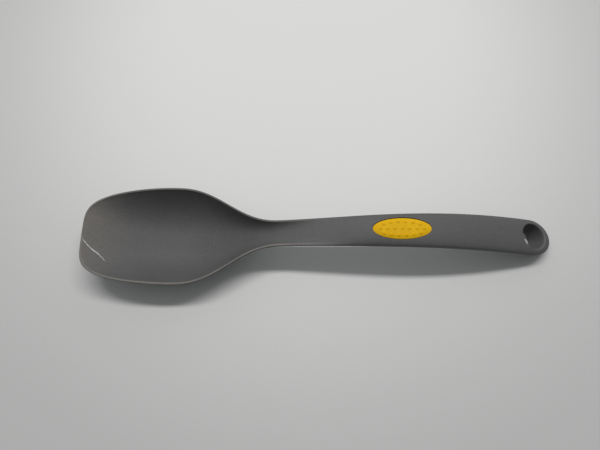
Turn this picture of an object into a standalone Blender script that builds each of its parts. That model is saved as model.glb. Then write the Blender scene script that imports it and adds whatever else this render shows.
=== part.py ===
# Nylon cooking spoon with a soft thumb pad let into its handle.
#
# The spoon lies as it rests on a table. X runs from the tip of the bowl to the hanging loop,
# Z is up, and the origin is on the table under the middle of the spoon's length.
# A station is a distance along the spoon, measured from the tip of the bowl.

import math

import bmesh
import bpy
from mathutils import Vector

# Plan view, in metres

BOWL_LENGTH = 0.1281  # tip of the bowl to the neck
HANDLE_LENGTH = 0.1749  # neck to the end of the hanging loop
BOWL_WIDTH = 0.0637
BOWL_WIDEST = 0.0565  # station where the bowl is widest
NECK_WIDTH = 0.0167
GRIP_WIDTH = 0.0206  # at the top of the arch
GRIP_FLARE = 0.026  # slope of the handle's sides there
LOOP_WIDTH = 0.0234
LOOP_ROUND = 0.0145  # length of the loop's round end

# Side view, as heights above the table. The edge line is the bowl's rim, and further on
# the widest line of the handle.

TIP_HEIGHT = 0.0219
TIP_CLIMB = 0.02  # slope of the rim at the tip
RIM_CREST = 0.042  # station just past the highest part of the rim
RIM_CREST_HEIGHT = 0.0223
CREST_FALL = 0.02  # slope of the rim there
RIM_DIP = 0.080  # station where the rim dips before it climbs to the neck
RIM_DIP_HEIGHT = 0.0207
NECK_HEIGHT = 0.0247
NECK_CLIMB = 0.125  # slope of the handle where it leaves the bowl
ARCH_REACH = 0.0715  # neck to the top of the handle's arch
ARCH_HEIGHT = 0.0297
LOOP_FALL = 0.45  # slope of the handle at its end
BELLY = 0.064  # station of the bowl's lowest point
TIP_RAMP = 0.52  # slope of the underside behind the tip

# Walls and sections

WALL = 0.0022  # bowl, at its bottom
LIP = 0.0014  # width of the rim
LIP_ROUND = 0.0005
RIM_BAND = 0.0014  # upright outer face of the rim
HANDLE_BAND = 0.0016  # upright side of the handle
NECK_DEPTH = 0.0094  # edge line to the underside, at the neck
LOOP_DEPTH = 0.0100  # the same, at the hanging loop
FLUTE_START = 0.082  # station where the bowl's floor begins to thicken
FLUTE_END = 0.160  # station where the hollow has run out into the handle
CROWN_START = 0.145  # station where the handle's top begins to round over
CROWN_END = 0.190  # station where it is fully rounded
SHELL_END = 0.106  # station where the thin shell begins to turn into the solid handle
GRIP_CROWN = 0.0027  # rise of the handle's top over its widest line, at the top of the arch
LOOP_CROWN = 0.0030
REST_LAND = 0.00015  # depth of the flats that the spoon rests on

# Hanging hole, square to the handle

HOLE_LENGTH = 0.0187  # at its upper mouth
HOLE_WIDTH = 0.0166
HOLE_TAPER = 0.0030  # how far each side leans in on its way down
HOLE_END_WALL = 0.0051  # hole to the end of the loop
HOLE_ROUND = 0.0011  # rounded mouth, on both faces

# Thumb pad and its pocket

PAD_REACH = 0.0719  # neck to the pad's centre
PAD_LENGTH = 0.0358
PAD_WIDTH = 0.0134
POCKET_DEPTH = 0.0019
PAD_PROUD = 0.0003  # pad's border over the handle's top
PAD_BORDER = 0.0010  # width of the plain border
PAD_FIELD = 0.0002  # rise of the dotted field over the border
FIELD_SLOPE = 0.0004  # width of the step up to the field
PAD_CLEARANCE = 0.0003
DOT_WIDTH = 0.0018
DOT_HEIGHT = 0.0005
DOT_PROFILE = ((-1.0, 1.0), (0.0, 1.0), (0.65, 0.78), (1.0, 0.35))  # height and width shares
DOT_PITCH = 0.0044
MIDDLE_DOTS = 7
SIDE_DOTS = 6
SIDE_ROW_OFFSET = 0.0045  # middle row to the top of a side row's bow
SIDE_ROW_REACH = 0.0150  # half length of the ellipse that a side row follows
PEG_WIDTH = 0.0040
PEG_LENGTH = 0.0030
PEG_SPACING = 0.0180

# Sections: exponents of the curves, and fineness of the mesh

FRONT_TAPER = 1.75  # the bowl's sides bow out more with a higher value
FRONT_CORNER = 4.7  # squarer corners at the tip with a higher value
BOWL_CURVE = 3.0  # flatter bottom and steeper walls with a higher value
BELLY_CURVE = 2.0
CROWN_CURVE = 2.3
TIP_RAYS = 18
SIDE_STATIONS = 42
END_RAYS = 8
TOP_STEPS = 8
UNDER_STEPS = 7
ROUND_STEPS = 3
RIM_SAMPLES = 400
HOLE_SIDES = 40
PAD_SIDES = 56
PEG_SIDES = 20
DOT_FACES = 8
FIELD_RINGS = 3
EDGE_TURNS = (0.3, 0.65, 1.0)  # shares of the quarter round on the pad's edge
REST_SAMPLES = 40
REST_HALVINGS = 40
SURFACE_STEPS = 8
SHARP_ANGLE = math.radians(35)
WELD = 1e-6  # points nearer than this become one

# Finishes

BODY_COLOUR = (0.105, 0.105, 0.106)
BODY_ROUGHNESS = 0.55
PAD_COLOUR = (0.62, 0.36, 0.022)
PAD_ROUGHNESS = 0.6

# Sizes that follow from the ones above

LENGTH = BOWL_LENGTH + HANDLE_LENGTH
ARCH = BOWL_LENGTH + ARCH_REACH
LOOP_CENTRE = LENGTH - LOOP_ROUND
HOLE_CENTRE = LENGTH - HOLE_END_WALL - HOLE_LENGTH / 2
PAD_CENTRE = BOWL_LENGTH + PAD_REACH
CUT_REACH = 0.010  # how far a cutter stands out of what it cuts
CAP_CLEAR = 0.0025  # how far a hole cutter's flat ends stand outside its mouths
MOUTH_SWEEP = math.radians(72)  # of the quarter round at the hole's mouths


def ease(value, start, end):
    """0 up to start, 1 from end on, and level at both."""
    t = min(max((value - start) / (end - start), 0.0), 1.0)
    return t * t * t * (t * (6 * t - 15) + 10)


def blend(a, b, share):
    return a + (b - a) * share


def smooth_line(rows, station):
    """Value at a station of a smooth line through rows of (station, value, slope)."""
    spans = list(zip(rows, rows[1:]))
    (s0, v0, m0), (s1, v1, m1) = next((span for span in spans if station <= span[1][0]), spans[-1])
    t = min(max((station - s0) / (s1 - s0), 0.0), 1.0)
    bend = t * (1 - t) * ((1 - t) * m0 - t * m1) * (s1 - s0)
    return blend(v0, v1, t * t * (3 - 2 * t)) + bend


def end_round(station):
    """1 along the spoon, falling to 0 on a quarter circle at the end of the loop."""
    past = max(station - LOOP_CENTRE, 0.0) / (LENGTH - LOOP_CENTRE)
    return math.sqrt(max(1 - past * past, 0.0))


def half_width(station):
    """Blunt bowl, slim neck, and a handle that widens to a round end."""
    if station <= BOWL_WIDEST:
        ahead = 1 - max(station, 0.0) / BOWL_WIDEST
        return BOWL_WIDTH / 2 * (1 - ahead**FRONT_TAPER) ** (1 / FRONT_CORNER)
    if station <= BOWL_LENGTH:
        return blend(BOWL_WIDTH, NECK_WIDTH, ease(station, BOWL_WIDEST, BOWL_LENGTH)) / 2
    rows = [
        (BOWL_LENGTH, NECK_WIDTH / 2, 0.0),
        (ARCH, GRIP_WIDTH / 2, GRIP_FLARE),
        (LOOP_CENTRE, LOOP_WIDTH / 2, 0.0),
    ]
    return smooth_line(rows, station) * end_round(station)


def handle_share(station):
    """0 on the bowl's thin shell and 1 on the solid handle."""
    return ease(station, SHELL_END, FLUTE_END)


def band(station):
    return blend(RIM_BAND, HANDLE_BAND, handle_share(station))


def handle_depth(station):
    return blend(NECK_DEPTH, LOOP_DEPTH, ease(station, BOWL_LENGTH, LOOP_CENTRE))


def edge_height(station, end_height):
    rows = [
        (0.0, TIP_HEIGHT, TIP_CLIMB),
        (RIM_CREST, RIM_CREST_HEIGHT, -CREST_FALL),
        (RIM_DIP, RIM_DIP_HEIGHT, 0.0),
        (BOWL_LENGTH, NECK_HEIGHT, NECK_CLIMB),
        (ARCH, ARCH_HEIGHT, 0.0),
        (LENGTH, end_height, -LOOP_FALL),
    ]
    return smooth_line(rows, station)


def loop_lowest(end_height):
    """Lowest point of the hanging loop's underside, for a height of the spoon's end."""
    heights = []
    for step in range(REST_SAMPLES + 1):
        station = blend(LOOP_CENTRE - LOOP_ROUND, LENGTH, step / REST_SAMPLES)
        below = HANDLE_BAND + (handle_depth(station) - HANDLE_BAND) * end_round(station)
        heights.append(edge_height(station, end_height) - below)
    return min(heights)


def resting_end_height():
    """Height of the spoon's end at which the loop just rests on the table."""
    low, high = -LOOP_DEPTH, ARCH_HEIGHT
    for _ in range(REST_HALVINGS):
        middle = (low + high) / 2
        if loop_lowest(middle) < -REST_LAND:
            low = middle
        else:
            high = middle
    return high


END_HEIGHT = resting_end_height()


def edge(station):
    return edge_height(station, END_HEIGHT)


def underside(station):
    """Height of the underside on the spoon's middle line, before its round end."""
    if station >= BOWL_LENGTH:
        return edge(station) - handle_depth(station)
    rows = [
        (0.0, TIP_HEIGHT - WALL, -TIP_RAMP),
        (BELLY, -REST_LAND, 0.0),
        (BOWL_LENGTH, NECK_HEIGHT - NECK_DEPTH, NECK_CLIMB),
    ]
    return smooth_line(rows, station)


def crown(station):
    along = blend(GRIP_CROWN, LOOP_CROWN, ease(station, ARCH, LOOP_CENTRE))
    return along * ease(station, CROWN_START, CROWN_END) * end_round(station)


def hollow(station):
    """Depth of the bowl's floor under the rim, running out as a flute in the handle."""
    full = edge(station) - underside(station) - WALL
    return max(full, 0.0) * (1 - ease(station, FLUTE_START, FLUTE_END))


class Rim:
    """The plan outline from the tip round one side to the end, and its inner edge."""

    def __init__(self):
        front = [self.bowl_front(i / RIM_SAMPLES) for i in range(RIM_SAMPLES)]
        back = [self.loop_end(i / RIM_SAMPLES) for i in range(RIM_SAMPLES + 1)]
        self.points = self.evenly(front + [(BOWL_WIDEST, BOWL_WIDTH / 2)], TIP_RAYS)[:-1]
        for step in range(SIDE_STATIONS):
            station = blend(BOWL_WIDEST, LOOP_CENTRE, step / SIDE_STATIONS)
            self.points.append((station, half_width(station)))
        self.points += self.evenly(back, END_RAYS)
        self.inner = [self.inset(i, LIP) for i in range(len(self.points))]

    @staticmethod
    def bowl_front(share):
        angle = share * math.pi / 2
        station = BOWL_WIDEST * (1 - math.cos(angle) ** (2 / FRONT_TAPER))
        return station, BOWL_WIDTH / 2 * math.sin(angle) ** (2 / FRONT_CORNER)

    @staticmethod
    def loop_end(share):
        angle = share * math.pi / 2
        radius = LENGTH - LOOP_CENTRE
        return LOOP_CENTRE + radius * math.sin(angle), LOOP_WIDTH / 2 * math.cos(angle)

    @staticmethod
    def evenly(points, count):
        """Count + 1 points at even distances along a chain of points."""
        reach = [0.0]
        for a, b in zip(points, points[1:]):
            reach.append(reach[-1] + math.dist(a, b))
        chosen = []
        for step in range(count + 1):
            wanted = reach[-1] * step / count
            at = next(i for i, r in enumerate(reach) if r >= wanted - 1e-12)
            chosen.append(points[at])
        return chosen

    def inset(self, index, distance):
        """The outline's point, moved square to the outline towards the spoon's middle."""
        x, y = self.points[index]
        if index in (0, len(self.points) - 1):
            return (x + distance, 0.0) if index == 0 else (x - distance, 0.0)
        before, after = self.points[index - 1], self.points[index + 1]
        along = Vector((after[0] - before[0], after[1] - before[1])).normalized()
        return x + along.y * distance, y - along.x * distance

    def inner_half_width(self, station):
        for (x0, y0), (x1, y1) in zip(self.inner, self.inner[1:]):
            if x0 <= station <= x1:
                return blend(y0, y1, (station - x0) / (x1 - x0))
        return 0.0

    def spine(self, index):
        """Where the rib from this point of the outline meets the spoon's middle line."""
        station = self.points[index][0]
        return min(max(station, BOWL_WIDEST), LOOP_CENTRE)


RIM = Rim()


def top_height(station, y, lip_drop=0.0):
    """Height of the upper surface: hollow in the bowl and crowned on the handle."""
    outer = half_width(station)
    inner = RIM.inner_half_width(station)
    across = min(abs(y) / outer, 1.0) if outer else 1.0
    inside = min(abs(y) / inner, 1.0) if inner else 1.0
    height = edge(station) - lip_drop * (1 - handle_share(station))
    height += crown(station) * math.sqrt(1 - across**CROWN_CURVE)
    return height - hollow(station) * (1 - inside**BOWL_CURVE)


def under_height(station, y):
    """Height of the lower surface: a shell under the bowl and a round belly under the handle."""
    outer = half_width(station)
    across = min(abs(y) / outer, 1.0) if outer else 1.0
    side_foot = edge(station) - band(station)
    depth = max(side_foot - underside(station), 0.0) * end_round(station)
    share = handle_share(station)
    curve = blend(BOWL_CURVE, BELLY_CURVE, share)
    return side_foot - depth * (1 - across**curve) ** blend(1.0, 1 / BELLY_CURVE, share)


def place(station, y, z):
    """A point of the spoon in the world, from its station."""
    return Vector((station - LENGTH / 2, y, z))


def rib(index):
    """Points of one rib: out along the top to the rim, over it, and back underneath."""
    x, y = RIM.points[index]
    spine = RIM.spine(index)
    points = []
    for step in range(TOP_STEPS + 1):
        share = math.sin(math.pi / 2 * step / TOP_STEPS)
        inner = RIM.inner[index]
        here = blend(spine, inner[0], share), inner[1] * share
        points.append(place(*here, top_height(*here)))
    for step in range(ROUND_STEPS + 1):
        angle = math.pi / 2 * step / ROUND_STEPS
        here = RIM.inset(index, LIP_ROUND * (1 - math.sin(angle)))
        points.append(place(*here, top_height(*here, LIP_ROUND * (1 - math.cos(angle)))))
    for step in range(UNDER_STEPS, -1, -1):
        share = math.sin(math.pi / 2 * step / UNDER_STEPS)
        here = blend(spine, x, share), y * share
        points.append(place(*here, under_height(*here)))
    return points


def new_object(name, mesh_maker, colour=None, roughness=None):
    mesh = bpy.data.meshes.new(name)
    builder = bmesh.new()
    mesh_maker(builder)
    bmesh.ops.remove_doubles(builder, verts=builder.verts, dist=WELD)
    bmesh.ops.dissolve_degenerate(builder, edges=builder.edges, dist=WELD)
    bmesh.ops.recalc_face_normals(builder, faces=builder.faces)
    builder.to_mesh(mesh)
    builder.free()
    obj = bpy.data.objects.new(name, mesh)
    bpy.context.scene.collection.objects.link(obj)
    if colour is None:
        obj.hide_render = True
        obj.display_type = "WIRE"
    else:
        mesh.materials.append(moulded(name, colour, roughness))
    return obj


def moulded(name, colour, roughness):
    """Plain moulded plastic: a colour, a sheen and no metal."""
    material = bpy.data.materials.new(name)
    material.use_nodes = True
    shader = material.node_tree.nodes["Principled BSDF"]
    shader.inputs["Base Color"].default_value = (*colour, 1.0)
    shader.inputs["Roughness"].default_value = roughness
    shader.inputs["Metallic"].default_value = 0.0
    return material


def add_loops(builder, loops, caps=False):
    """Joins closed loops of equally many points with quads, and closes the ends on request."""
    rows = [[builder.verts.new(point) for point in loop] for loop in loops]
    for row, next_row in zip(rows, rows[1:]):
        for i in range(len(row)):
            j = (i + 1) % len(row)
            builder.faces.new((row[i], row[j], next_row[j], next_row[i]))
    if caps:
        builder.faces.new(rows[0])
        builder.faces.new(rows[-1])


def spoon_shell(builder):
    """The whole moulding before it is cut: ribs all round the outline, left and right alike."""
    right = [rib(index) for index in range(len(RIM.points))]
    left = [[Vector((p.x, -p.y, p.z)) for p in points] for points in right[-2:0:-1]]
    ribs = right + left
    add_loops(builder, [[points[level] for points in ribs] for level in range(len(ribs[0]))])


def ellipse(length, width, sides):
    for side in range(sides):
        angle = 2 * math.pi * side / sides
        yield length / 2 * math.cos(angle), width / 2 * math.sin(angle)


class HoleFrame:
    """Axes at the hanging hole: along the handle, and square to it."""

    def __init__(self):
        step = HOLE_LENGTH / 2
        fall = (edge(HOLE_CENTRE + step) - edge(HOLE_CENTRE - step)) / (2 * step)
        self.along = Vector((1.0, 0.0, fall)).normalized()
        self.out = Vector((-self.along.z, 0.0, self.along.x))
        self.centre = Vector((HOLE_CENTRE, 0.0, edge(HOLE_CENTRE)))

    def point(self, along, y, out):
        where = self.centre + self.along * along + self.out * out
        return place(where.x, y, where.z)

    def flat_loop(self, wider, out):
        """The hole's ellipse, widened all round, on a plane square to the hole."""
        ring = ellipse(HOLE_LENGTH + 2 * wider, HOLE_WIDTH + 2 * wider, HOLE_SIDES)
        return [self.point(along, y, out) for along, y in ring]

    def mouth_loop(self, tube_wider, wider, inward, height_of, facing):
        """The tube's section, widened all round, at one depth under a face of the handle."""
        length, width = HOLE_LENGTH + 2 * tube_wider, HOLE_WIDTH + 2 * tube_wider
        tube = ellipse(length, width, HOLE_SIDES)
        ring = ellipse(length + 2 * wider, width + 2 * wider, HOLE_SIDES)
        loop = []
        for (near_along, near_y), (along, y) in zip(tube, ring):
            out = self.surface(near_along, near_y, height_of) - facing * inward
            loop.append(self.point(along, y, out))
        return loop

    def surface(self, along, y, height_of):
        """How far out a surface of the spoon lies, over a point of the hole's section."""
        out = 0.0
        for _ in range(SURFACE_STEPS):
            where = self.centre + self.along * along + self.out * out
            out += (height_of(where.x, y) - where.z) * self.out.z
        return out


def hole_cutter(builder):
    """A tube whose mouths flare as quarter rounds, each following its face of the handle."""
    frame = HoleFrame()
    mouth = []
    for step in range(ROUND_STEPS + 1):
        angle = MOUTH_SWEEP * step / ROUND_STEPS
        mouth.append((HOLE_ROUND * (1 - math.cos(angle)), HOLE_ROUND * (1 - math.sin(angle))))
    above = [frame.mouth_loop(0.0, wide, inward, top_height, 1) for wide, inward in mouth]
    below = [frame.mouth_loop(-HOLE_TAPER, wide, inward, under_height, -1) for wide, inward in mouth]
    clear = mouth[-1][0] + CAP_CLEAR
    floor = frame.flat_loop(clear - HOLE_TAPER, -LOOP_DEPTH - CUT_REACH)
    ceiling = frame.flat_loop(clear, LOOP_CROWN + CUT_REACH)
    add_loops(builder, [floor, *below[::-1], *above, ceiling], caps=True)


def pad_surface(along, across):
    """Top of the handle where the pad lies."""
    return top_height(PAD_CENTRE + along, across)


def pocket_floor(along):
    return pad_surface(along, 0.0) - POCKET_DEPTH


def pocket_cutter(builder):
    length = PAD_LENGTH + 2 * PAD_CLEARANCE
    width = PAD_WIDTH + 2 * PAD_CLEARANCE
    floor, rim = [], []
    for along, y in ellipse(length, width, PAD_SIDES):
        floor.append(place(PAD_CENTRE + along, y, pocket_floor(along)))
        rim.append(place(PAD_CENTRE + along, y, pocket_floor(along) + CUT_REACH))
    add_loops(builder, [floor, rim])
    cap_across(builder, floor)
    cap_across(builder, rim)


def cap_across(builder, loop):
    """Closes an ellipse that is curved along its length with strips across it."""
    half = len(loop) // 2
    for i in range(half):
        corners = [loop[i], loop[i + 1], loop[(-i - 1) % len(loop)], loop[-i % len(loop)]]
        distinct = [p for n, p in enumerate(corners) if p not in corners[:n]]
        builder.faces.new([builder.verts.new(point) for point in distinct])


def add_peg(builder, along, width, length):
    """A round peg that hangs under the pocket's floor, and starts half way up the pocket."""
    floor = pocket_floor(along)
    above = POCKET_DEPTH / 2
    top, bottom = [], []
    for x, y in ellipse(width, width, PEG_SIDES):
        top.append(place(PAD_CENTRE + along + x, y, floor + above))
        bottom.append(place(PAD_CENTRE + along + x, y, floor - length))
    add_loops(builder, [top, bottom], caps=True)


def socket_cutters(builder):
    width, length = PEG_WIDTH + 2 * PAD_CLEARANCE, PEG_LENGTH + PAD_CLEARANCE
    for along in (-PEG_SPACING / 2, PEG_SPACING / 2):
        add_peg(builder, along, width, length)


def table_cutter(builder):
    """Takes off whatever is below the table, which leaves the two flats that the spoon rests on."""
    corners = [(-1, -1), (1, -1), (1, 1), (-1, 1)]
    reach, side = LENGTH, BOWL_WIDTH
    loops = [[Vector((x * reach, y * side, z)) for x, y in corners] for z in (-CUT_REACH, 0.0)]
    add_loops(builder, loops, caps=True)


def pad_body(builder):
    """Plain border with a rounded edge, and a raised field inside it."""
    edge_round = PAD_BORDER / 2
    steps = [(0.0, PAD_PROUD - edge_round)]
    for turn in EDGE_TURNS:
        angle = turn * math.pi / 2
        across, up = 1 - math.cos(angle), 1 - math.sin(angle)
        steps.append((edge_round * across, PAD_PROUD - edge_round * up))
    steps.append((PAD_BORDER, PAD_PROUD))
    loops = [pad_ring(0.0, None)] + [pad_ring(inset, rise) for inset, rise in steps]
    field = FIELD_SLOPE + PAD_BORDER
    loops += [pad_ring(field, PAD_PROUD + PAD_FIELD)]
    for ring in range(FIELD_RINGS - 1, 0, -1):
        loops.append(field_ring(field, ring / FIELD_RINGS))
    add_loops(builder, loops)
    cap_across(builder, loops[0])
    hub = builder.verts.new(field_point(0.0, 0.0))
    last = [builder.verts.new(point) for point in loops[-1]]
    for i in range(len(last)):
        builder.faces.new((last[i], last[(i + 1) % len(last)], hub))


def pad_ring(inset, rise):
    """The pad's ellipse, drawn in, over the handle's top, or on the pocket's floor for no rise."""
    loop = []
    for along, y in ellipse(PAD_LENGTH - 2 * inset, PAD_WIDTH - 2 * inset, PAD_SIDES):
        floor = pocket_floor(along) + PAD_CLEARANCE
        height = floor if rise is None else pad_surface(along, y) + rise
        loop.append(place(PAD_CENTRE + along, y, height))
    return loop


def field_ring(inset, share):
    ring = ellipse(PAD_LENGTH - 2 * inset, PAD_WIDTH - 2 * inset, PAD_SIDES)
    return [field_point(along * share, y * share) for along, y in ring]


def field_point(along, y):
    return place(PAD_CENTRE + along, y, pad_surface(along, y) + PAD_PROUD + PAD_FIELD)


def dot_places():
    """A straight middle row, and a bowed row on each side of it."""
    for i in range(MIDDLE_DOTS):
        yield (i - (MIDDLE_DOTS - 1) / 2) * DOT_PITCH, 0.0
    for i in range(SIDE_DOTS):
        along = (i - (SIDE_DOTS - 1) / 2) * DOT_PITCH
        bow = SIDE_ROW_OFFSET * math.sqrt(1 - (along / SIDE_ROW_REACH) ** 2)
        yield along, bow
        yield along, -bow


def pad_dots(builder):
    """Low round dots, each sunk a little into the pad."""
    for along, y in dot_places():
        ground = field_point(along, y)
        loops = []
        for rise, share in DOT_PROFILE:
            ring = ellipse(DOT_WIDTH * share, DOT_WIDTH * share, DOT_FACES)
            loops.append([ground + Vector((x, side, DOT_HEIGHT * rise)) for x, side in ring])
        add_loops(builder, loops, caps=True)


def pad_pegs(builder):
    for along in (-PEG_SPACING / 2, PEG_SPACING / 2):
        add_peg(builder, along, PEG_WIDTH, PEG_LENGTH)


def boolean(obj, name, operation, other):
    cut = obj.modifiers.new(name, "BOOLEAN")
    cut.operation = operation
    cut.solver = "EXACT"
    cut.object = other


def shade_round(obj):
    obj.data.shade_smooth()
    obj.data.set_sharp_from_angle(angle=SHARP_ANGLE)


def make_body():
    body = new_object("spoon_body", spoon_shell, BODY_COLOUR, BODY_ROUGHNESS)
    shade_round(body)
    for name, maker in (
        ("hanging_hole", hole_cutter),
        ("pad_pocket", pocket_cutter),
        ("peg_sockets", socket_cutters),
        ("table_plane", table_cutter),
    ):
        boolean(body, name, "DIFFERENCE", new_object(name, maker))


def make_pad():
    pad = new_object("grip_pad", pad_body, PAD_COLOUR, PAD_ROUGHNESS)
    shade_round(pad)
    boolean(pad, "dots", "UNION", new_object("dots", pad_dots))
    boolean(pad, "pegs", "UNION", new_object("pegs", pad_pegs))


def main():
    for obj in list(bpy.data.objects):
        bpy.data.objects.remove(obj, do_unlink=True)
    make_body()
    make_pad()


main()
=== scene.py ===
import math
from types import SimpleNamespace

import bmesh
import bpy
from mathutils import Matrix, Vector


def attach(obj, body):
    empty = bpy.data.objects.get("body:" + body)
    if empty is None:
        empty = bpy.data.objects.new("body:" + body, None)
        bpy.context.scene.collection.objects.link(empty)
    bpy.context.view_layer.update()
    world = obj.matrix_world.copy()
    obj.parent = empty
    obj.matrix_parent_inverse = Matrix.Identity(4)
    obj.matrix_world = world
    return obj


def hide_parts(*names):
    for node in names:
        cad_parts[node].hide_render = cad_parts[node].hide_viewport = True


# A nylon cooking spoon with a soft thumb pad, lying on a pale table.
# X runs from the tip of the bowl to the hanging loop, Z is up, and everything is in metres.
# A station is a distance along the spoon, measured from the tip of the bowl.

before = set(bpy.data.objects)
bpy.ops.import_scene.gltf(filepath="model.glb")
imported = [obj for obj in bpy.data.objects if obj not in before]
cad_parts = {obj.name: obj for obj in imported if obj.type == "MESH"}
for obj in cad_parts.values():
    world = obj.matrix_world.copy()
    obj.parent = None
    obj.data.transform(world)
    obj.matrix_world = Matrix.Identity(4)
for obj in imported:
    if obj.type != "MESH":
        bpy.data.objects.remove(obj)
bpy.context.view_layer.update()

# Slopes are rises per metre along the spoon, and heights are above the table.
spoonSizes = {
    "bowlLength": 0.1281,
    "handleLength": 0.1749,
    "bowlWidth": 0.0637,
    "bowlWidest": 0.0565,
    "neckWidth": 0.0167,
    "gripWidth": 0.0206,
    "gripFlare": 0.026,
    "loopWidth": 0.0234,
    "loopRound": 0.0145,
    "frontTaper": 1.75,
    "frontCorner": 4.7,
    "tipHeight": 0.0219,
    "tipClimb": 0.02,
    "rimCrest": 0.042,
    "rimCrestHeight": 0.0223,
    "crestFall": 0.02,
    "rimDip": 0.080,
    "rimDipHeight": 0.0207,
    "neckHeight": 0.0247,
    "neckClimb": 0.125,
    "archReach": 0.0715,
    "archHeight": 0.0297,
    "endHeight": 0.0056,
    "loopFall": 0.45,
    "belly": 0.064,
    "bellyDrop": 0.00015,
    "tipRamp": 0.52,
    "wall": 0.0022,
    "tipStart": 0.00085,
    "tipStartEnd": 0.030,
    "lip": 0.0014,
    "lipRise": 0.00040,
    "rimBand": 0.0013,
    "handleBand": 0.0016,
    "neckDepth": 0.0094,
    "loopDepth": 0.0100,
    "fluteStart": 0.082,
    "fluteEnd": 0.160,
    "crownStart": 0.145,
    "crownEnd": 0.190,
    "shellEnd": 0.106,
    "gripCrown": 0.0027,
    "loopCrown": 0.0030,
    "bowlCurve": 3.0,
    "crownCurve": 2.3,
}

# The hanging hole, square to the handle's slope there, and the pad's pocket
cutSizes = {
    "holeLength": 0.0187,
    "holeWidth": 0.0166,
    "holeTaper": 0.0030,
    "holeEndWall": 0.0051,
    "holeRound": 0.0011,
    "holeFall": -0.3926,
    "holeHeight": 0.0117,
    "holeSweep": math.radians(72),
    "cutReach": 0.012,
    "pocketGap": 0.00008,
    "farGroove": 0.00050,
    "pocketDepth": 0.0019,
}
spoonMesh = {"around": 640, "topSteps": 30, "lipSteps": 10, "bandSteps": 2, "underSteps": 26}
outlineParts = {"tip": 0.26, "end": 0.92}  # shares of the outline that are the tip and the loop's end
wornGlintReach = (0.46, 0.58)  # shares of the outline between which the worn rim and its painted highlight fade out
farWearAndGlint = 0.35  # how worn and how strongly painted with highlight the far rim is, against 1 for the near one
weldDistance = 0.00001
sharpAngle = math.radians(38)
rayHeight = 0.1
rayLength = 0.2

padSizes = {
    "padReach": 0.0720,
    "padLength": 0.0361,
    "padWidth": 0.0134,
    "padProud": 0.0003,
    "padSunk": 0.0016,
    "border": 0.0010,
    "borderRound": 0.0005,
    "field": 0.00018,
    "fieldSlope": 0.0004,
}
dotSizes = {
    "dotWidth": 0.0022,
    "dotHeight": 0.00044,
    "dotSpread": 1.35,  # the dots are caps of rounder bodies that are this much wider
    "dotPitch": 0.00445,
    "dotShift": -0.0002,
    "rowOffset": 0.0043,
    "rowReach": 0.0150,
    "middleDots": 7,
    "sideDots": 6,
}


class Wire:
    # A node socket that maths is written on: each operator adds a Math node.
    def __init__(self, board, socket):
        self.board = board
        self.socket = socket

    def maths(self, operation, first, second=None):
        values = {0: first} if second is None else {0: first, 1: second}
        return self.board.node("ShaderNodeMath", {"operation": operation}, values)

    def __add__(self, other):
        return self.maths("ADD", self, other)

    def __radd__(self, other):
        return self.maths("ADD", other, self)

    def __sub__(self, other):
        return self.maths("SUBTRACT", self, other)

    def __rsub__(self, other):
        return self.maths("SUBTRACT", other, self)

    def __mul__(self, other):
        return self.maths("MULTIPLY", self, other)

    def __rmul__(self, other):
        return self.maths("MULTIPLY", other, self)

    def __truediv__(self, other):
        return self.maths("DIVIDE", self, other)

    def __rtruediv__(self, other):
        return self.maths("DIVIDE", other, self)

    def __pow__(self, other):
        return self.maths("POWER", self, other)

    def __gt__(self, other):
        return self.maths("GREATER_THAN", self, other)

    def __abs__(self):
        return self.maths("ABSOLUTE", self)

    def sine(self):
        return self.maths("SINE", self)

    def cosine(self):
        return self.maths("COSINE", self)

    def root(self):
        return self.maths("SQRT", self)

    def sign(self):
        return self.maths("SIGN", self)

    def atMost(self, other):
        return self.maths("MINIMUM", self, other)

    def atLeast(self, other):
        return self.maths("MAXIMUM", self, other)


class Board:
    # A node tree as it is written. node() adds any node: settings first, then values or links.
    def __init__(self, tree):
        self.tree = tree

    def node(self, kind, settings=None, values=None, output=0):
        made = self.tree.nodes.new(kind)
        count = len(self.tree.nodes)
        made.location = (190 * (count % 16), -230 * (count // 16))
        for name, value in (settings or {}).items():
            setattr(made, name, value)
        for key, value in (values or {}).items():
            self.plug(made.inputs[key], value)
        if isinstance(output, tuple):
            return [Wire(self, made.outputs[name]) for name in output]
        return Wire(self, made.outputs[output]) if len(made.outputs) else made

    def plug(self, socket, value):
        if isinstance(value, list):
            for wire in value:
                self.tree.links.new(wire.socket, socket)
        elif isinstance(value, Wire):
            self.tree.links.new(value.socket, socket)
        else:
            socket.default_value = value

    def share(self, value, start, end):
        # 0 up to start and 1 from end on, in a straight line
        return self.node("ShaderNodeMapRange", {"clamp": True}, {"Value": value, "From Min": start, "From Max": end})

    def ease(self, value, start, end):
        # The same, but level at both ends
        settings = {"interpolation_type": "SMOOTHERSTEP"}
        return self.node("ShaderNodeMapRange", settings, {"Value": value, "From Min": start, "From Max": end})

    def combine(self, x, y, z):
        return self.node("ShaderNodeCombineXYZ", None, {0: x, 1: y, 2: z})

    def separate(self, vector):
        return self.node("ShaderNodeSeparateXYZ", None, {0: vector}, (0, 1, 2))

    def mixColour(self, factor, first, second, way="MIX"):
        settings = {"data_type": "RGBA", "blend_type": way}
        return self.node("ShaderNodeMix", settings, {0: factor, 6: first, 7: second}, 2)

    def noise(self, vector, scale, detail=2.0, roughness=0.5):
        values = {"Vector": vector, "Scale": scale, "Detail": detail, "Roughness": roughness}
        return self.node("ShaderNodeTexNoise", None, values)


def blend(first, second, share):
    return first + (second - first) * share


def remembered(law):
    # A law that is asked for again at the same sockets isn't written twice.
    def ask(self, *places):
        key = (law.__name__, *places)
        if key not in self.known:
            self.known[key] = law(self, *places)
        return self.known[key]

    return ask


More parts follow.
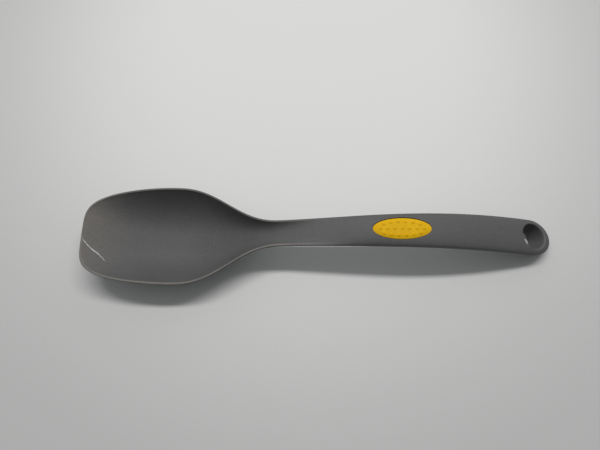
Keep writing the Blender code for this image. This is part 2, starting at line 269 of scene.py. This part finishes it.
class SpoonLaws:
    # The spoon's surfaces, written as node maths on stations.
    def __init__(self, board, size):
        self.board = board
        self.size = size
        self.known = {}
        self.length = size.bowlLength + size.handleLength
        self.arch = size.bowlLength + size.archReach
        self.loopCentre = self.length - size.loopRound

    def smoothLine(self, rows, station):
        # A smooth line through rows of station, value and slope
        line = rows[0][1]
        for (s0, v0, m0), (s1, v1, m1) in zip(rows, rows[1:]):
            t = self.board.share(station, s0, s1)
            bend = t * (1 - t) * ((1 - t) * m0 - t * m1) * (s1 - s0)
            line = t * t * (3 - 2 * t) * (v1 - v0) + bend + line
        return line

    @remembered
    def sideHalf(self, station):
        size = self.size
        rows = [
            (size.bowlLength, size.neckWidth / 2, 0.0),
            (self.arch, size.gripWidth / 2, size.gripFlare),
            (self.loopCentre, size.loopWidth / 2, 0.0),
        ]
        narrowing = self.board.ease(station, size.bowlWidest, size.bowlLength)
        bowl = blend(size.bowlWidth, size.neckWidth, narrowing) / 2
        return bowl + self.smoothLine(rows, station) - size.neckWidth / 2

    @remembered
    def endRound(self, station, inset):
        past = self.board.share(station, self.loopCentre, self.length - inset)
        return (1 - past * past).root()

    @remembered
    def halfWidth(self, station, inset):
        size = self.size
        ahead = 1 - self.board.share(station, inset, size.bowlWidest)
        front = (1 - ahead ** size.frontTaper) ** (1 / size.frontCorner)
        return (self.sideHalf(station) - inset) * front * self.endRound(station, inset)

    def outline(self, around, inset):
        # Station, half width and side of a point round the outline, drawn in by the inset
        size = self.size
        turn = 1 - 2 * around
        along = 1 - abs(turn)
        tip = self.board.share(along, 0.0, outlineParts["tip"]) ** (size.frontCorner / 2) * (math.pi / 2)
        side = self.board.share(along, outlineParts["tip"], outlineParts["end"])
        end = self.board.share(along, outlineParts["end"], 1.0) * (math.pi / 2)
        station = (size.bowlWidest - inset) * (1 - tip.cosine() ** (2 / size.frontTaper)) + inset
        station = station + (self.loopCentre - size.bowlWidest) * side
        station = station + (size.loopRound - inset) * end.sine()
        half = (size.bowlWidth / 2 - inset) * tip.sine() ** (2 / size.frontCorner)
        half = half + self.sideHalf(station) - size.bowlWidth / 2
        half = half + (size.loopWidth / 2 - inset) * (end.cosine() - 1)
        return station, half.atLeast(0.0), turn.sign()

    @remembered
    def handleShare(self, station):
        return self.board.ease(station, self.size.shellEnd, self.size.fluteEnd)

    def band(self, station):
        return blend(self.size.rimBand, self.size.handleBand, self.handleShare(station))

    @remembered
    def edge(self, station):
        size = self.size
        rows = [
            (0.0, size.tipHeight, size.tipClimb),
            (size.rimCrest, size.rimCrestHeight, 0 - size.crestFall),
            (size.rimDip, size.rimDipHeight, 0.0),
            (size.bowlLength, size.neckHeight, size.neckClimb),
            (self.arch, size.archHeight, 0.0),
            (self.length, size.endHeight, 0 - size.loopFall),
        ]
        return self.smoothLine(rows, station)

    @remembered
    def keel(self, station):
        # The underside on the middle line
        size = self.size
        deepening = self.board.ease(station, size.bowlLength, self.loopCentre)
        handle = self.edge(station) - blend(size.neckDepth, size.loopDepth, deepening)
        rows = [
            (0.0, size.tipHeight - size.wall, 0 - size.tipRamp),
            (size.belly, 0 - size.bellyDrop, 0.0),
            (size.bowlLength, size.neckHeight - size.neckDepth, size.neckClimb),
        ]
        return blend(self.smoothLine(rows, station), handle, station > size.bowlLength)

    @remembered
    def across(self, station, y, inset):
        # 0 on the middle line and 1 on the outline
        tiny = 1e-7
        return ((abs(y) + tiny) / (self.halfWidth(station, inset) + tiny)).atMost(1.0)

    def topHeight(self, station, y):
        size = self.size
        thicker = size.tipStart * (1 - self.board.ease(station, 0.0, size.tipStartEnd))
        full = (self.edge(station) - self.keel(station) - size.wall - thicker).atLeast(0.0)
        hollow = full * (1 - self.board.ease(station, size.fluteStart, size.fluteEnd))
        rise = blend(size.gripCrown, size.loopCrown, self.board.ease(station, self.arch, self.loopCentre))
        crown = rise * self.board.ease(station, size.crownStart, size.crownEnd) * self.endRound(station, 0.0)
        rounded = (1 - self.across(station, y, 0.0) ** size.crownCurve).root()
        dished = 1 - self.across(station, y, size.lip) ** size.bowlCurve
        return self.edge(station) + crown * rounded - hollow * dished

    def underHeight(self, station, y):
        # A shell under the bowl that turns into a round belly under the handle
        sideFoot = self.edge(station) - self.band(station)
        depth = (sideFoot - self.keel(station)).atLeast(0.0) * self.endRound(station, 0.0)
        share = self.handleShare(station)
        curve = blend(self.size.bowlCurve, 2.0, share)
        return sideFoot - depth * (1 - self.across(station, y, 0.0) ** curve) ** blend(1.0, 0.5, share)

    def place(self, station, y, z):
        return self.board.combine(station - self.length / 2, y, z)


def newTree(name, sizes):
    # A geometry tree with a named input for each size, and one for its material
    tree = bpy.data.node_groups.new(name, "GeometryNodeTree")
    tree.interface.new_socket("Geometry", in_out="INPUT", socket_type="NodeSocketGeometry")
    tree.interface.new_socket("Geometry", in_out="OUTPUT", socket_type="NodeSocketGeometry")
    for sizeName, value in sizes.items():
        kind = "NodeSocketInt" if isinstance(value, int) else "NodeSocketFloat"
        socket = tree.interface.new_socket(sizeName, in_out="INPUT", socket_type=kind)
        socket.default_value = value
    tree.interface.new_socket("guide", in_out="INPUT", socket_type="NodeSocketObject")
    tree.interface.new_socket("material", in_out="INPUT", socket_type="NodeSocketMaterial")
    board = Board(tree)
    entry = tree.nodes.new("NodeGroupInput")
    inputs = {name: Wire(board, entry.outputs[name]) for name in [*sizes, "guide", "material"]}
    return board, SimpleNamespace(**inputs)


def guideShape(board, size):
    return board.node("GeometryNodeObjectInfo", None, {"Object": size.guide}, "Geometry")


def rayHit(board, guide, start, direction, output):
    values = {"Target Geometry": guide, "Source Position": start, "Ray Direction": direction, "Ray Length": rayLength}
    return board.node("GeometryNodeRaycast", None, values, output)


def topAt(board, guide, x, y):
    # Where a ray from above meets the guide, and which way the surface faces there
    start, down = board.combine(x, y, rayHeight), (0.0, 0.0, -1.0)
    found = rayHit(board, guide, start, down, ("Hit Position", "Hit Normal"))
    return board.separate(found[0])[2], found[1]


def endTree(board, shape, material):
    realised = board.node("GeometryNodeRealizeInstances", None, {"Geometry": shape})
    finished = board.node("GeometryNodeSetMaterial", None, {"Geometry": realised, "Material": material})
    board.node("NodeGroupOutput", None, {"Geometry": finished})
    return board.tree


def patch(board, columns, rows, placeOf, marks=None):
    # A sheet of quads whose points are placed by their shares across and down it
    values = {"Size X": 1.0, "Size Y": 1.0, "Vertices X": columns + 1, "Vertices Y": rows + 1}
    sheet = board.node("GeometryNodeMeshGrid", None, values)
    x, y, z = board.separate(board.node("GeometryNodeInputPosition"))
    for name, shareOf in (marks or {}).items():
        values = {"Geometry": sheet, "Name": name, "Value": shareOf(x + 0.5, y + 0.5)}
        sheet = board.node("GeometryNodeStoreNamedAttribute", {"data_type": "FLOAT", "domain": "POINT"}, values)
    values = {"Geometry": sheet, "Position": placeOf(x + 0.5, y + 0.5)}
    return board.node("GeometryNodeSetPosition", None, values)


def weld(board, shape):
    return board.node("GeometryNodeMergeByDistance", None, {"Geometry": shape, "Distance": weldDistance})


def shellTree(sizes):
    # Ribs run from the middle line out along the top to the rim, over it, and back underneath.
    board, size = newTree("spoonShell", sizes)
    laws = SpoonLaws(board, size)
    lipStart = spoonMesh["topSteps"]
    bandStart = lipStart + spoonMesh["lipSteps"]
    underStart = bandStart + spoonMesh["bandSteps"]
    rows = underStart + spoonMesh["underSteps"]
    spread = 1.2  # ribs have their points closer together near the rim with a higher value

    def ribPlace(around, down):
        row = down * rows
        topShare = (board.share(row, 0.0, lipStart) * spread).sine() / math.sin(spread)
        underShare = 1 - (board.share(row, underStart, rows) * (math.pi / 2)).cosine()
        lipAngle = board.share(row, lipStart, bandStart) * math.pi
        onBand = board.share(row, bandStart, underStart)
        station, half, side = laws.outline(around, size.lip * (1 + lipAngle.cosine()) / 2)
        spine = station.atLeast(size.bowlWidest).atMost(laws.loopCentre)
        reach = topShare - underShare
        here, y = blend(spine, station, reach), half * reach
        top = laws.topHeight(here, y) + size.lipRise * lipAngle.sine() * (1 - laws.handleShare(here))
        under = (laws.underHeight(here, y) + laws.band(here) * (1 - onBand)).atLeast(0.0)
        return laws.place(here, y * side, blend(top, under, row > bandStart + 0.5))

    def rimWear(around, down):
        # 1 over the near rim's lip and faint over the far one's, from the tip to where the flute runs out: where wear
        # and a painted highlight go
        row = down * rows
        onLip = board.share(row, lipStart - 1, lipStart + 2) * (1 - board.share(row, bandStart - 1, bandStart + 1))
        along = 1 - abs(1 - 2 * around)
        return onLip * blend(farWearAndGlint, 1.0, around > 0.5) * (1 - board.share(along, *wornGlintReach))

    shell = weld(board, patch(board, spoonMesh["around"], rows, ribPlace, {"rimWear": rimWear}))
    return endTree(board, shell, size.material)


def holeCutter(board, size, shell):
    # A tapered tube whose mouths flare as quarter rounds, each following its face of the handle
    length = size.bowlLength + size.handleLength
    centre = length / 2 - size.holeEndWall - size.holeLength / 2
    alongX = 1 / (size.holeFall * size.holeFall + 1).root()
    alongZ = alongX * size.holeFall
    rows = 18

    def point(along, y, out):
        x = centre + alongX * along - alongZ * out
        return board.combine(x, y, size.holeHeight + alongZ * along + alongX * out)

    def ring(angle, wider):
        return angle.cosine() * (size.holeLength / 2 + wider), angle.sine() * (size.holeWidth / 2 + wider)

    def facing(angle, wider, start, way):
        # How far out the spoon's surface lies, found by a ray square to the handle
        along, y = ring(angle, wider)
        direction = board.combine(0 - alongZ * way, 0.0, alongX * way)
        return start + rayHit(board, shell, point(along, y, start), direction, "Hit Distance") * way

    def wallPlace(around, down):
        angle = around * (2 * math.pi)
        row = down * rows
        lowTurn = (1 - board.share(row, 2.0, 9.0)) * size.holeSweep
        highTurn = board.share(row, 10.0, 16.0) * size.holeSweep
        flare = size.holeRound * (2 - lowTurn.cosine() - highTurn.cosine())
        clear = size.holeRound * (1 - board.share(row, 1.0, 2.0) + board.share(row, 16.0, 17.0))
        top = facing(angle, 0.0, size.cutReach, -1.0) - size.holeRound * (1 - highTurn.sine())
        low = facing(angle, 0 - size.holeTaper, 0 - size.cutReach * 2, 1.0) + size.holeRound * (1 - lowTurn.sine())
        top = blend(top, size.cutReach, board.share(row, 16.0, 17.0))
        low = blend(0 - size.cutReach * 2, low, board.share(row, 1.0, 2.0))
        upper = row > 9.5
        along, y = ring(angle, flare + clear - size.holeTaper * (1 - upper))
        closed = board.share(row, 0.0, 1.0) * (1 - board.share(row, 17.0, 18.0))
        return point(along * closed, y * closed, blend(low, top, upper))

    return weld(board, patch(board, 120, rows, wallPlace))


def pocketCutter(board, size, shell):
    # A plain elliptical pocket whose floor follows the handle's arch
    centre = (size.bowlLength - size.handleLength) / 2 + size.padReach

    def wallPlace(around, down):
        angle = around * (2 * math.pi)
        row = down * 3
        closed = board.share(row, 0.0, 1.0) * (1 - board.share(row, 2.0, 3.0))
        x = angle.cosine() * (size.padLength / 2 + size.pocketGap) * closed + centre
        y = angle.sine() * (size.padWidth / 2 + size.pocketGap + size.farGroove / 2) * closed + size.farGroove / 2
        height, facing = topAt(board, shell, x, 0.00001)
        rise = blend(0 - size.pocketDepth, size.cutReach, board.share(row, 1.0, 2.0))
        return board.combine(x, y, height + rise)

    return weld(board, patch(board, 128, 3, wallPlace))


def spoonTree(sizes):
    # The shell with its hanging hole and its pocket cut out
    board, size = newTree("spoonBody", sizes)
    shell = guideShape(board, size)
    cutters = [holeCutter(board, size, shell), pocketCutter(board, size, shell)]
    settings = {"operation": "DIFFERENCE", "solver": "EXACT"}
    cut = board.node("GeometryNodeMeshBoolean", settings, {"Mesh 1": shell, "Mesh 2": cutters})
    return endTree(board, cut, size.material)


def padTree(sizes):
    board, size = newTree("thumbPad", sizes)
    shell = guideShape(board, size)
    centre = (size.bowlLength - size.handleLength) / 2 + size.padReach
    rows = 16

    def bodyPlace(around, down):
        # From the middle of its underside, up its side, over its border and in to the middle of its top
        angle = around * (2 * math.pi)
        row = down * rows
        turn = board.share(row, 2.0, 7.0) * (math.pi / 2)
        inset = size.borderRound * (1 - turn.cosine())
        inset = inset + (size.border - size.borderRound) * board.share(row, 7.0, 8.0)
        inset = inset + size.fieldSlope * board.share(row, 8.0, 10.0)
        closed = board.share(row, 0.0, 1.0) * (1 - board.share(row, 10.0, 16.0))
        x = angle.cosine() * (size.padLength / 2 - inset) * closed + centre
        y = angle.sine() * (size.padWidth / 2 - inset) * closed
        low = size.padProud - size.borderRound
        rise = blend(0 - size.padSunk, low, board.share(row, 1.0, 2.0))
        rise = rise + size.borderRound * turn.sine() + size.field * board.ease(row, 8.0, 10.0)
        height, facing = topAt(board, shell, x, y * (row > 1.5) + 0.00001)
        return board.combine(x, y, height + rise)

    body = weld(board, patch(board, 144, rows, bodyPlace))

    # Three rows of dots: a straight middle row, and a bowed row on each side of it
    number = board.node("GeometryNodeInputIndex") + 0.0
    beside = number > size.middleDots - 0.5
    onSide = number - size.middleDots
    far = onSide > size.sideDots - 0.5
    place = blend(number, onSide - far * size.sideDots, beside)
    middle = (blend(size.middleDots, size.sideDots, beside) - 1) / 2
    along = (place - middle) * size.dotPitch
    y = (1 - (along / size.rowReach) ** 2).root() * size.rowOffset * (1 - far * 2) * beside
    x = centre + along + size.dotShift
    height, facing = topAt(board, shell, x, y + 0.00001)
    spots = board.combine(x, y, height + size.padProud + size.field)
    seeds = board.node("GeometryNodeMeshLine", None, {"Count": size.middleDots + size.sideDots * 2})
    seeds = board.node("GeometryNodeSetPosition", None, {"Geometry": seeds, "Position": spots})
    ball = board.node("GeometryNodeMeshIcoSphere", None, {"Radius": 1.0, "Subdivisions": 4})
    girth = size.dotWidth / 2 * size.dotSpread
    cut = (1 - 1 / (size.dotSpread * size.dotSpread)).root()
    tall = size.dotHeight / (1 - cut)
    values = {"Geometry": ball, "Scale": board.combine(girth, girth, tall)}
    values["Translation"] = board.combine(0.0, 0.0, 0 - tall * cut)
    dome = board.node("GeometryNodeTransform", None, values)
    upright = board.node("FunctionNodeAlignRotationToVector", {"axis": "Z"}, {"Vector": facing})
    values = {"Points": seeds, "Instance": dome, "Rotation": upright}
    dots = board.node("GeometryNodeInstanceOnPoints", None, values)
    both = board.node("GeometryNodeJoinGeometry", None, {"Geometry": [body, dots]})
    return endTree(board, both, size.material)


def growPiece(name, tree, sizes, guide, material):
    # Runs a tree as a modifier, then keeps its result as a plain mesh.
    maker = bpy.data.objects.new(name + "Maker", bpy.data.meshes.new(name + "Maker"))
    bpy.context.scene.collection.objects.link(maker)
    modifier = maker.modifiers.new("grow", "NODES")
    modifier.node_group = tree
    values = {**sizes, "guide": guide, "material": material}
    for item in tree.interface.items_tree:
        if item.in_out == "INPUT" and item.name in values:
            modifier[item.identifier] = values[item.name]
    graph = bpy.context.evaluated_depsgraph_get()
    mesh = bpy.data.meshes.new_from_object(maker.evaluated_get(graph), preserve_all_data_layers=True, depsgraph=graph)
    maker.modifiers.remove(modifier)
    bpy.data.objects.remove(maker)
    mesh.name = name
    piece = bpy.data.objects.new(name, mesh)
    bpy.context.scene.collection.objects.link(piece)
    shape = bmesh.new()
    shape.from_mesh(mesh)
    bmesh.ops.recalc_face_normals(shape, faces=shape.faces)
    openEdges = sum(not edge.is_manifold for edge in shape.edges)
    shape.to_mesh(mesh)
    shape.free()
    mesh.shade_smooth()
    mesh.set_sharp_from_angle(angle=sharpAngle)
    print(name, len(mesh.polygons), "faces,", openEdges, "open edges")
    return piece


def newMaterial(name):
    material = bpy.data.materials.new(name)
    material.use_nodes = True
    return material, Board(material.node_tree), material.node_tree.nodes["Principled BSDF"]


def setFinish(board, shader, values):
    for name, value in values.items():
        board.plug(shader.inputs[name], value)


nylonFinish = {
    "grey": (0.0930, 0.0918, 0.0935, 1.0),
    "stainAndSheenGrey": (0.1360, 0.1250, 0.1150, 1.0),
    # The pale rim colour is wear together with a painted highlight on the rounded lip.
    "wornRimAndGlint": (0.207, 0.190, 0.172, 1.0),
    # The tip's tint is a real stain, and its extra lightness, stronger on the far side than on the near side, is
    # painted sheen.
    "mouthHighlightGrey": (0.148, 0.141, 0.134, 1.0),
    "nearStainAndSheen": 0.4,  # share of the tint that is left on the near side
    "stainAndSheenSide": (-0.024, -0.004),
    "stainAndSheenEnd": 0.038,  # how far from the tip the warm tint reaches
    "roughness": 0.60,
    "gloss": 0.33,
    "mottleScale": 800.0,
    "cloudShade": 0.16,
    "mottleShade": 0.42,
    "grainShade": 0.28,
    "scratchStrength": 0.16,
    "crackShadeStrength": 0.5,
    # The pale ring in the hole's mouth is a painted highlight.
    "mouthHighlight": 0.55,
    "grainScale": 1900.0,
    "grainDepth": 0.00003,
    "marks": (0.30, 0.30, 0.295, 1.0),
    "crackWhite": (0.46, 0.455, 0.445, 1.0),
    "crackShade": (0.055, 0.054, 0.053, 1.0),
}
# The whitened crack in the bowl's tip: where it runs, and its half width at each point
crackPath = [
    (-0.1509, -0.0018, 0.00018),
    (-0.1469, -0.0066, 0.00036),
    (-0.1438, -0.0092, 0.00052),
    (-0.1414, -0.0109, 0.00038),
    (-0.1390, -0.0133, 0.00024),
    (-0.1364, -0.0158, 0.00006),
]
scratchPaths = [
    [(-0.0697, 0.0091), (-0.0702, 0.0052), (-0.0709, 0.0011), (-0.0713, -0.0023)],
    [(-0.0817, -0.0095), (-0.0784, -0.0089), (-0.0744, -0.0077)],
]
specks = [(-0.0668, 0.0095), (-0.0503, 0.0063), (-0.0469, 0.0040), (-0.1277, 0.0189)]


def nearLine(board, x, y, start, end):
    # Distance to a stretch of a line in plan, and how far along the stretch the nearest point is
    runX, runY = end[0] - start[0], end[1] - start[1]
    span = runX * runX + runY * runY
    along = board.share((x - start[0]) * runX + (y - start[1]) * runY, 0.0, span)
    missX = x - start[0] - along * runX
    missY = y - start[1] - along * runY
    return (missX * missX + missY * missY).root(), along


def crackDepth(board, x, y):
    # 1 in the middle of the crack and 0 outside it
    deepest = None
    for start, end in zip(crackPath, crackPath[1:]):
        distance, along = nearLine(board, x, y, start, end)
        depth = (1 - distance / blend(start[2], end[2], along)).atLeast(0.0)
        deepest = depth if deepest is None else deepest.atLeast(depth)
    return deepest


def nylonMaterial():
    material, board, shader = newMaterial("greyNylon")
    spot = board.node("ShaderNodeTexCoord", None, None, "Object")
    x, y, z = board.separate(spot)
    grain = board.noise(spot, nylonFinish["grainScale"], 2.0, 0.6)
    cloud = board.noise(spot, 70.0, 3.0)
    mottle = board.noise(spot, nylonFinish["mottleScale"], 2.0)
    wander = board.noise(spot, 900.0, 2.0) - 0.5

    # The tip is warmer in tint, where heat and food have stained it, and lighter, most on the far side, which is
    # painted sheen.
    tipX = -(spoonSizes["bowlLength"] + spoonSizes["handleLength"]) / 2
    stainAndSheen = (1 - board.ease(x, tipX, tipX + nylonFinish["stainAndSheenEnd"])) * (cloud * 0.8 + 0.5)
    stainAndSheen = stainAndSheen * blend(nylonFinish["nearStainAndSheen"], 1.0, board.share(y, *nylonFinish["stainAndSheenSide"]))
    colour = board.mixColour(stainAndSheen.atMost(1.0), nylonFinish["grey"], nylonFinish["stainAndSheenGrey"])
    shade = (cloud - 0.5) * nylonFinish["cloudShade"] + (mottle - 0.5) * nylonFinish["mottleShade"]
    shade = shade + (grain - 0.5) * nylonFinish["grainShade"] + 1
    colour = board.mixColour(1.0, colour, board.combine(shade, shade, shade), "MULTIPLY")

    crackX, crackY = x + wander * 0.0007, y + wander * 0.0005
    inBowl = board.share(z, 0.010, 0.014)
    crack = board.share(crackDepth(board, crackX, crackY), 0.0, 0.35) * inBowl
    # A copy of the crack, moved along the spoon, marks where painted shade lies beside it.
    crackShadow = board.share(crackDepth(board, crackX + 0.0008, crackY), 0.0, 0.5) * inBowl

    scratch = None
    for path in scratchPaths:
        for start, end in zip(path, path[1:]):
            distance, along = nearLine(board, x + wander * 0.0002, y, start, end)
            line = 1 - board.share(distance, 0.00006, 0.00022)
            scratch = line if scratch is None else scratch.atLeast(line)
    for speck in specks:
        missX, missY = x - speck[0], y - speck[1]
        dab = 1 - board.share((missX * missX + missY * missY).root(), 0.0002, 0.00042)
        scratch = scratch.atLeast(dab * 1.6)
    onTop = board.node("ShaderNodeNewGeometry", None, None, "Normal")
    upward = board.share(board.separate(onTop)[2], 0.05, 0.3)
    scratch = scratch * upward * nylonFinish["scratchStrength"]
    colour = board.mixColour(scratch, colour, nylonFinish["marks"])
    # Painted shade along one side of the crack.
    crackShadow = crackShadow * upward * nylonFinish["crackShadeStrength"]
    colour = board.mixColour(crackShadow, colour, nylonFinish["crackShade"])
    colour = board.mixColour(crack * upward, colour, nylonFinish["crackWhite"])

    # The near rim is scraped pale along its lip, and the pale colour also paints the highlight on its rounded lip,
    # fainter on the far rim.
    rim = board.node("ShaderNodeAttribute", {"attribute_name": "rimWear"}, None, "Fac")
    wornAndGlint = rim * ((cloud - 0.5) * 0.8 + (mottle - 0.5) * 0.7 + 0.62)
    colour = board.mixColour(wornAndGlint.atLeast(0.0).atMost(1.0), colour, nylonFinish["wornRimAndGlint"])

    # The rounded mouth of the hanging hole gets a pale ring towards the loop's end and on its upper face: a painted
    # highlight.
    slope = math.hypot(1.0, cutSizes["holeFall"])
    centre = -tipX - cutSizes["holeEndWall"] - cutSizes["holeLength"] / 2
    rise = z - cutSizes["holeHeight"]
    along = ((x - centre) + rise * cutSizes["holeFall"]) / slope
    out = (rise - (x - centre) * cutSizes["holeFall"]) / slope
    wide, long = cutSizes["holeWidth"] / 2, cutSizes["holeLength"] / 2
    ring = ((along / long) ** 2 + (y / wide) ** 2).root() - 1.04
    paintedMouthHighlight = 1 - board.share(abs(ring), 0.02, 0.09)
    paintedMouthHighlight = paintedMouthHighlight * board.share(out, 0.0, 0.0015) * board.share(along, -0.004, 0.002)
    colour = board.mixColour(paintedMouthHighlight * nylonFinish["mouthHighlight"], colour, nylonFinish["mouthHighlightGrey"])

    roughness = (cloud - 0.5) * 0.14 + (grain - 0.5) * 0.10 + nylonFinish["roughness"] + crack * 0.2
    shader.inputs["Specular IOR Level"].default_value = nylonFinish["gloss"]
    bumpValues = {"Strength": 0.5, "Distance": nylonFinish["grainDepth"], "Height": grain}
    bump = board.node("ShaderNodeBump", None, bumpValues)
    setFinish(board, shader, {"Base Color": colour, "Roughness": roughness, "Normal": bump})
    return material


padFinish = {
    "yellow": (0.745, 0.434, 0.005, 1.0),
    "deepYellow": (0.700, 0.397, 0.003, 1.0),
    "roughness": 0.58,
    "gloss": 0.11,
}


def padMaterial():
    material, board, shader = newMaterial("yellowSoftPad")
    spot = board.node("ShaderNodeTexCoord", None, None, "Object")
    cloud = board.noise(spot, 260.0, 3.0)
    grain = board.noise(spot, 2600.0, 2.0, 0.6)
    share = board.share(cloud + (grain - 0.5) * 0.4, 0.35, 0.70)
    colour = board.mixColour(share, padFinish["deepYellow"], padFinish["yellow"])
    roughness = (grain - 0.5) * 0.12 + padFinish["roughness"]
    shader.inputs["Specular IOR Level"].default_value = padFinish["gloss"]
    bump = board.node("ShaderNodeBump", None, {"Strength": 0.3, "Distance": 0.00001, "Height": grain})
    setFinish(board, shader, {"Base Color": colour, "Roughness": roughness, "Normal": bump})
    return material


tableFinish = {
    "clearance": 0.00002,  # keeps the resting flats out of the table's own plane
    "pale": (0.735, 0.732, 0.722, 1.0),
    "dim": (0.530, 0.528, 0.521, 1.0),
    "paleCentre": (-0.01, 0.15),
    "reach": (0.08, 0.36),
    "lengthwise": 1.28,  # how much faster it dims along the spoon
    "roughness": 0.95,
}


def makeTable():
    # A pale sheet whose colour dims gently away from its brightest place: a painted pool of light.
    mesh = bpy.data.meshes.new("table")
    shape = bmesh.new()
    bmesh.ops.create_grid(shape, x_segments=8, y_segments=8, size=1.6)
    bmesh.ops.translate(shape, verts=shape.verts, vec=(0.0, 0.0, -tableFinish["clearance"]))
    shape.to_mesh(mesh)
    shape.free()
    table = bpy.data.objects.new("table", mesh)
    bpy.context.scene.collection.objects.link(table)
    material, board, shader = newMaterial("paleTable")
    spot = board.node("ShaderNodeTexCoord", None, None, "Object")
    x, y, z = board.separate(spot)
    awayX, awayY = x - tableFinish["paleCentre"][0], y - tableFinish["paleCentre"][1]
    away = (awayX * awayX * tableFinish["lengthwise"] + awayY * awayY).root()
    paintedLightFalloff = board.ease(away, *tableFinish["reach"])
    colour = board.mixColour(paintedLightFalloff, tableFinish["pale"], tableFinish["dim"])
    fibre = board.noise(spot, 500.0, 2.0)
    shade = (fibre - 0.5) * 0.03 + 1
    colour = board.mixColour(1.0, colour, board.combine(shade, shade, shade), "MULTIPLY")
    setFinish(board, shader, {"Base Color": colour, "Roughness": tableFinish["roughness"]})
    mesh.materials.append(material)
    return table


lightSettings = {
    "angle": 22.8,  # degrees from straight above, towards +Y
    "distance": 1.0,
    "length": 1.02,
    "breadth": 0.10,
    "power": 6.8,
    "lampTint": (1.0, 0.995, 0.985),
    "roomDark": 0.05,
    "roomBright": 0.61,
    "roomTint": (0.95, 0.985, 1.0),
}


def makeLights():
    angle = math.radians(lightSettings["angle"])
    lamp = bpy.data.lights.new("longSoftbox", "AREA")
    lamp.shape = "RECTANGLE"
    lamp.size = lightSettings["length"]
    lamp.size_y = lightSettings["breadth"]
    lamp.energy = lightSettings["power"]
    lamp.color = lightSettings["lampTint"]
    box = bpy.data.objects.new("longSoftbox", lamp)
    box.location = Vector((0.0, math.sin(angle), math.cos(angle))) * lightSettings["distance"]
    box.rotation_euler = (-angle, 0.0, 0.0)
    bpy.context.scene.collection.objects.link(box)

    # The room is brighter on the far side than on the near side.
    world = bpy.data.worlds.new("paleRoom")
    world.use_nodes = True
    board = Board(world.node_tree)
    facing = board.node("ShaderNodeTexCoord", None, None, "Generated")
    x, y, z = board.separate(facing)
    glow = blend(lightSettings["roomDark"], lightSettings["roomBright"], board.share(y, -1.0, 1.0))
    background = world.node_tree.nodes["Background"]
    red, green, blue = lightSettings["roomTint"]
    board.plug(background.inputs["Color"], board.combine(glow * red, glow * green, glow * blue))
    bpy.context.scene.world = world


cameraSettings = {
    "place": (-0.0138, -0.0847, 0.3005),
    "tilt": 18.0,
    "turn": -0.35,
    "lens": 27.72,
}


def makeCamera():
    turn = Matrix.Rotation(math.radians(cameraSettings["turn"]), 4, "Z")
    camera = bpy.data.cameras.new("view")
    camera.lens = cameraSettings["lens"]
    camera.sensor_width = 36.0
    camera.clip_start = 0.01
    holder = bpy.data.objects.new("view", camera)
    holder.location = turn @ Vector(cameraSettings["place"])
    holder.rotation_euler = (math.radians(cameraSettings["tilt"]), 0.0, math.radians(cameraSettings["turn"]))
    bpy.context.scene.collection.objects.link(holder)
    bpy.context.scene.camera = holder


makeCamera()
makeLights()
makeTable()
print("camera, light and table are ready")

nylon = nylonMaterial()
shell = growPiece("spoonShell", shellTree(spoonSizes), spoonSizes, None, nylon)
sizes = {"bowlLength": spoonSizes["bowlLength"], "handleLength": spoonSizes["handleLength"], **cutSizes, **padSizes}
spoon = growPiece("spoonBody", spoonTree(sizes), sizes, shell, nylon)
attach(spoon, "root")
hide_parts("spoon_body")
print("the spoon is lofted, pierced and pocketed")

yellow = padMaterial()
sizes = {**sizes, **dotSizes}
pad = growPiece("thumbPad", padTree(sizes), sizes, shell, yellow)
bpy.data.objects.remove(shell)
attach(pad, "root")
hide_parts("grip_pad")
print("the thumb pad and its dots are in place")

bpy.context.scene.view_settings.view_transform = "Standard"
